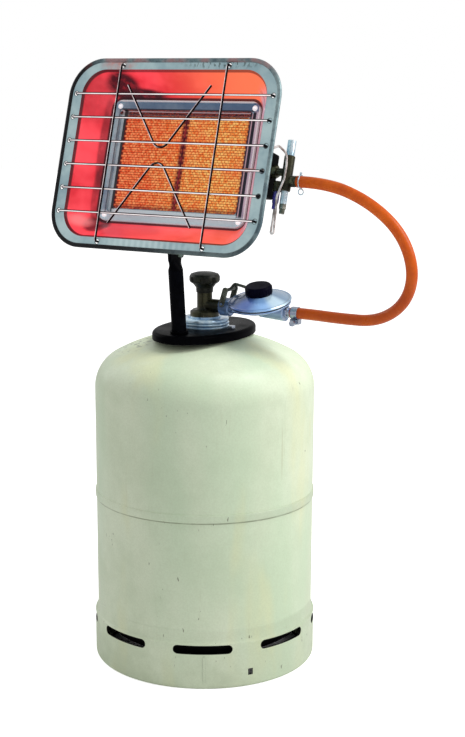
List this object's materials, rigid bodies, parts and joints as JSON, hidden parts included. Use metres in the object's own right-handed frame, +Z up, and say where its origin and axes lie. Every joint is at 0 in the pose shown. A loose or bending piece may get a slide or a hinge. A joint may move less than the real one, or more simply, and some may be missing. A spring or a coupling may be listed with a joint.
{
  "type": "portable propane heater",
  "caption": "Infrared propane heater head on a tilting post, clamped to the neck of a gas cylinder with valve, regulator and hose.",
  "frame": {"origin": "centre of the foot ring on the floor, on the cylinder's axis", "axes": "+Z up the cylinder's axis, -Y the way the burner faces, +X towards the regulator and the hose"},
  "size_m": [0.4822, 0.313, 0.8318],
  "materials": {
    "cylinder_paint": "satin",
    "plated_steel": "bright",
    "black_rubber": "matte",
    "black_gloss": "gloss",
    "dark_brass": "aged",
    "brass": "satin",
    "black_plastic": "gloss",
    "zinc_casting": "satin",
    "orange_hose": "satin",
    "reflector_steel": "bright",
    "bezel_enamel": "satin",
    "glowing_ceramic": "matte, emissive",
    "ceramic_fibre": "matte",
    "guard_wire": "bright",
    "copper_lead": "satin"
  },
  "bodies": {
    "root": {"cylinder_upper_shell": "cylinder_paint", "cylinder_lower_shell": "cylinder_paint", "cylinder_seam_weld": "cylinder_paint", "foot_ring": "cylinder_paint", "neck_boss": "plated_steel", "plate_pad": "black_rubber", "base_plate": "black_gloss", "plate_studs": "plated_steel", "clamp_ring": "plated_steel", "valve_body": "dark_brass", "valve_gland": "dark_brass", "regulator_coupling": "zinc_casting", "regulator_body": "zinc_casting", "regulator_diaphragm": "black_rubber", "regulator_cover": "zinc_casting", "regulator_cap": "black_plastic", "regulator_spout": "plated_steel", "hose": "orange_hose", "hose_band": "plated_steel", "post": "black_gloss", "post_collar": "black_gloss"},
    "head": {"hose_clip": "plated_steel", "tilt_bracket": "black_gloss", "tilt_bolt": "plated_steel", "reflector_dish": "reflector_steel", "burner_bezel": "bezel_enamel", "bezel_screws": "plated_steel", "plaque_left": "glowing_ceramic", "plaque_right": "glowing_ceramic", "plaque_gasket": "ceramic_fibre", "burner_box": "reflector_steel", "mixing_tube": "plated_steel", "guard_horizontals": "guard_wire", "guard_uprights": "guard_wire", "guard_vees": "guard_wire", "valve_mount": "black_gloss", "injector": "brass", "safety_valve_body": "dark_brass", "button_spring": "guard_wire", "hose_nozzle": "plated_steel", "magnet_unit": "plated_steel", "test_nut": "brass", "terminal_nut": "dark_brass", "thermocouple": "plated_steel", "thermocouple_lead": "copper_lead"},
    "handwheel": {"handwheel": "black_plastic", "valve_spindle": "brass"},
    "plug": {"valve_plug": "brass"},
    "lever": {"coupling_lever": "plated_steel"},
    "wing_nut": {"wing_nut": "plated_steel"},
    "button": {"push_button": "plated_steel"}
  },
  "joints": [
    {"name": "head_tilt", "type": "hinge", "parent": "root", "child": "head", "pos_m": [0, -0.07896, 0.59075], "axis": [1, 0, 0], "range_deg": [-25, 17], "deforming": ["hose"]},
    {"name": "handwheel_turn", "type": "hinge", "parent": "root", "child": "handwheel", "pos_m": [0, 0, 0.535], "axis": [0, 0, 1], "range_deg": [0, 720]},
    {"name": "plug_rise", "type": "slide", "parent": "handwheel", "child": "plug", "axis": [0, 0, 1], "range_m": [0, 0.004]},
    {"name": "lever_lift", "type": "hinge", "parent": "root", "child": "lever", "pos_m": [0.0347, 0, 0.507], "axis": [0, -1, 0], "range_deg": [0, 35]},
    {"name": "wing_nut_turn", "type": "hinge", "parent": "head", "child": "wing_nut", "pos_m": [0, -0.07896, 0.59075], "axis": [1, 0, 0], "range_deg": [0, 360]},
    {"name": "button_press", "type": "slide", "parent": "head", "child": "button", "axis": [0, -0.2924, -0.9563], "range_m": [0, 0.006], "stiffness_N_per_m": 600, "springref_m": -0.003, "deforming": ["button_spring"]}
  ],
  "couplings": [
    {"joint": "plug_rise", "follows": "handwheel_turn", "m_per_rad": 0.00031831}
  ]
}
